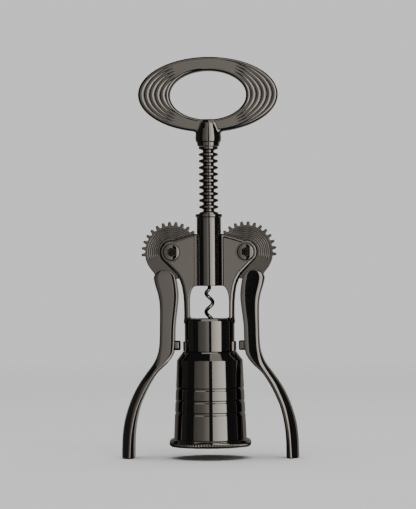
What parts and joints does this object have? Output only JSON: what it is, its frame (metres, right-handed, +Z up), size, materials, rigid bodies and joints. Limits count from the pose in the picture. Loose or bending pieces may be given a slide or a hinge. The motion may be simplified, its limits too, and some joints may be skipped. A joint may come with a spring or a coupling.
{
  "type": "wing corkscrew",
  "caption": "Double-lever wing corkscrew with oval ring handle, ring-toothed rack, geared levers and a bell that sits over a bottle neck.",
  "frame": {"origin": "on the spindle axis, level with the flat ends of the closed levers", "axes": "+Z up along the spindle towards the ring handle, -Y towards the front, +X to the right seen from the front"},
  "size_m": [0.1156, 0.0534, 0.2603],
  "materials": {
    "black_chrome": "polished dark chrome plating with a warm grey cast",
    "steel": "turned bare steel",
    "bronze": "sintered bronze bearing metal",
    "black_nylon": "satin moulded nylon"
  },
  "bodies": {
    "frame": {"yoke": "black_chrome", "top_guide_bush": "bronze", "lower_guide_bush": "bronze", "bell_sleeve": "black_chrome", "bell_rim": "black_chrome", "bottle_liner": "black_nylon", "left_front_washer": "steel", "left_rear_washer": "steel", "left_pivot_screw": "black_chrome", "left_barrel_nut": "black_chrome", "right_front_washer": "steel", "right_rear_washer": "steel", "right_pivot_screw": "black_chrome", "right_barrel_nut": "black_chrome"},
    "rack": {"rack_sleeve": "black_chrome"},
    "handle": {"handle_ring": "black_chrome", "spindle": "steel", "retaining_collar": "steel", "worm": "black_chrome"},
    "left_lever": {"left_lever": "black_chrome", "left_lever_bush": "bronze"},
    "right_lever": {"right_lever": "black_chrome", "right_lever_bush": "bronze"}
  },
  "joints": [
    {"name": "rack_slide", "type": "slide", "parent": "frame", "child": "rack", "axis": [0, 0, -1], "range_m": [0, 0.042]},
    {"name": "handle_spin", "type": "hinge", "parent": "rack", "child": "handle", "pos_m": [0, 0, 0.2025], "axis": [0, 0, 1], "continuous": true},
    {"name": "left_lever_pivot", "type": "hinge", "parent": "frame", "child": "left_lever", "pos_m": [-0.02405, 0, 0.1336], "axis": [0, 1, 0], "range_deg": [0, 127]},
    {"name": "right_lever_pivot", "type": "hinge", "parent": "frame", "child": "right_lever", "pos_m": [0.02405, 0, 0.1336], "axis": [0, -1, 0], "range_deg": [0, 127]}
  ],
  "couplings": [
    {"joint": "left_lever_pivot", "follows": "rack_slide", "rad_per_m": 52.664},
    {"joint": "right_lever_pivot", "follows": "rack_slide", "rad_per_m": 52.664}
  ]
}
